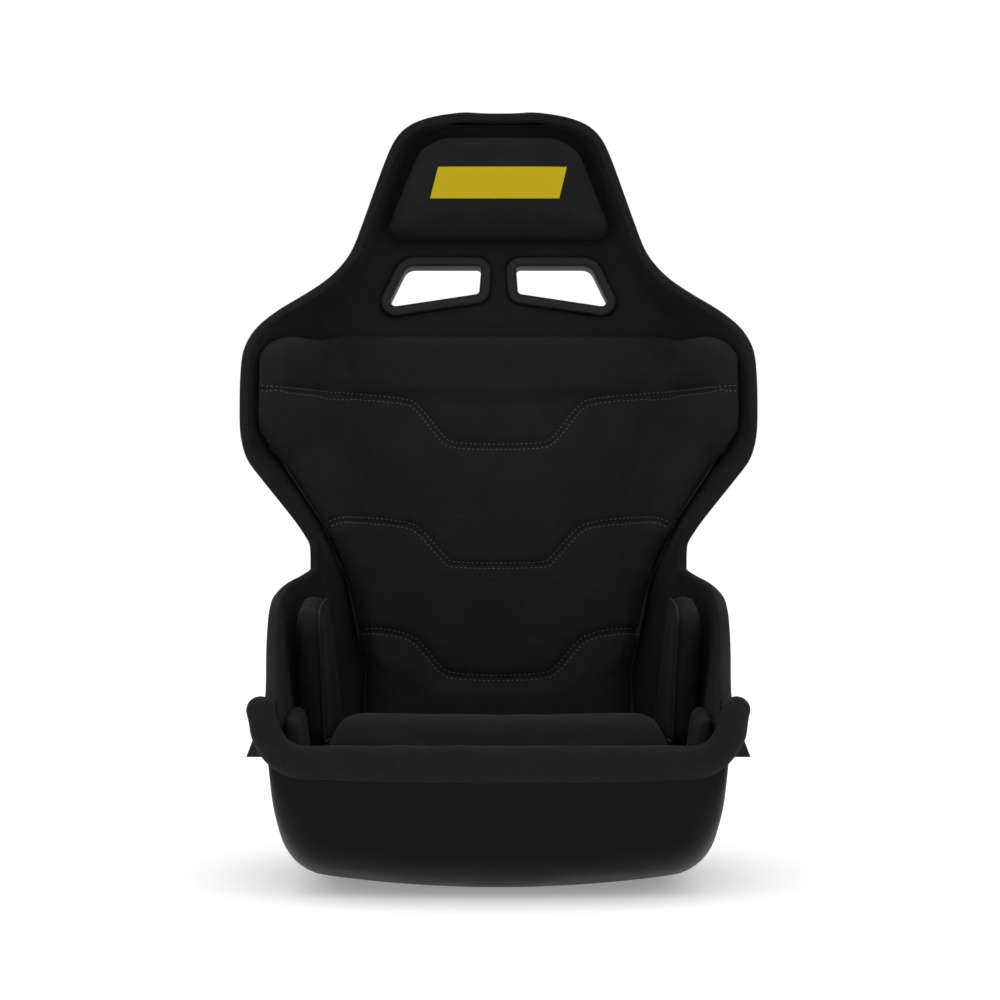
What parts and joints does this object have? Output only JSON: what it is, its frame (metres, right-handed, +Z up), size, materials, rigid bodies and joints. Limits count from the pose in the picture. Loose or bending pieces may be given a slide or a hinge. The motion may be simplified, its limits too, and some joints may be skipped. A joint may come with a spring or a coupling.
{
  "type": "racing seat",
  "caption": "Fixed-back bucket racing seat: lined glass-fibre shell with hip and shoulder wings, separate fabric cushions, harness slots and side fixings.",
  "frame": {"origin": "middle of the bounding box, at its base", "axes": "+Z up, the seat faces -Y, +X is on the right as the seat is looked at from the front"},
  "size_m": [0.5704, 0.6547, 0.8382],
  "materials": {
    "black_gelcoat": "satin",
    "black_knit": "matte",
    "charcoal_foam": "matte",
    "black_plastic": "satin",
    "black_tape": "matte",
    "backing_board": "matte",
    "zinc_steel": "satin",
    "yellow_badge": "matte"
  },
  "bodies": {
    "seat": {"seat_shell": "black_gelcoat", "shell_liner": "black_knit", "lip_cover": "black_knit", "lip_end_left": "black_knit", "lip_end_right": "black_knit", "back_cushion_cover": "black_knit", "hip_cushion_left_cover": "black_knit", "hip_cushion_right_cover": "black_knit", "thigh_cushion_left": "black_knit", "thigh_cushion_right": "black_knit", "lip_foam": "charcoal_foam", "back_cushion_foam": "charcoal_foam", "hip_cushion_left_foam": "charcoal_foam", "hip_cushion_right_foam": "charcoal_foam", "back_cushion_board": "backing_board", "edge_trim": "black_plastic", "harness_bezel_left": "black_plastic", "harness_bezel_right": "black_plastic", "harness_rear_ring_left": "black_plastic", "harness_rear_ring_right": "black_plastic", "belt_bezel_left": "black_plastic", "belt_bezel_right": "black_plastic", "belt_rear_ring_left": "black_plastic", "belt_rear_ring_right": "black_plastic", "crotch_bezel": "black_plastic", "mount_boss_left": "black_plastic", "mount_boss_right": "black_plastic", "side_flange_left": "black_plastic", "side_flange_right": "black_plastic", "head_tape": "black_tape", "seat_tape_front": "black_tape", "seat_tape_rear": "black_tape", "mount_insert_left_front": "zinc_steel", "mount_insert_left_rear": "zinc_steel", "mount_insert_right_front": "zinc_steel", "mount_insert_right_rear": "zinc_steel"},
    "seat_cushion": {"seat_cushion_cover": "black_knit", "seat_cushion_board": "backing_board", "seat_cushion_foam": "charcoal_foam"},
    "head_cushion": {"head_cushion_cover": "black_knit", "head_cushion_board": "backing_board", "head_cushion_foam": "charcoal_foam", "head_badge": "yellow_badge"}
  },
  "joints": [
    {"name": "seat_cushion_lift", "type": "slide", "parent": "seat", "child": "seat_cushion", "axis": [0, 0, 1], "range_m": [0, 0.15]},
    {"name": "head_cushion_pull", "type": "slide", "parent": "seat", "child": "head_cushion", "axis": [0, -0.97, 0.2431], "range_m": [0, 0.1]}
  ]
}
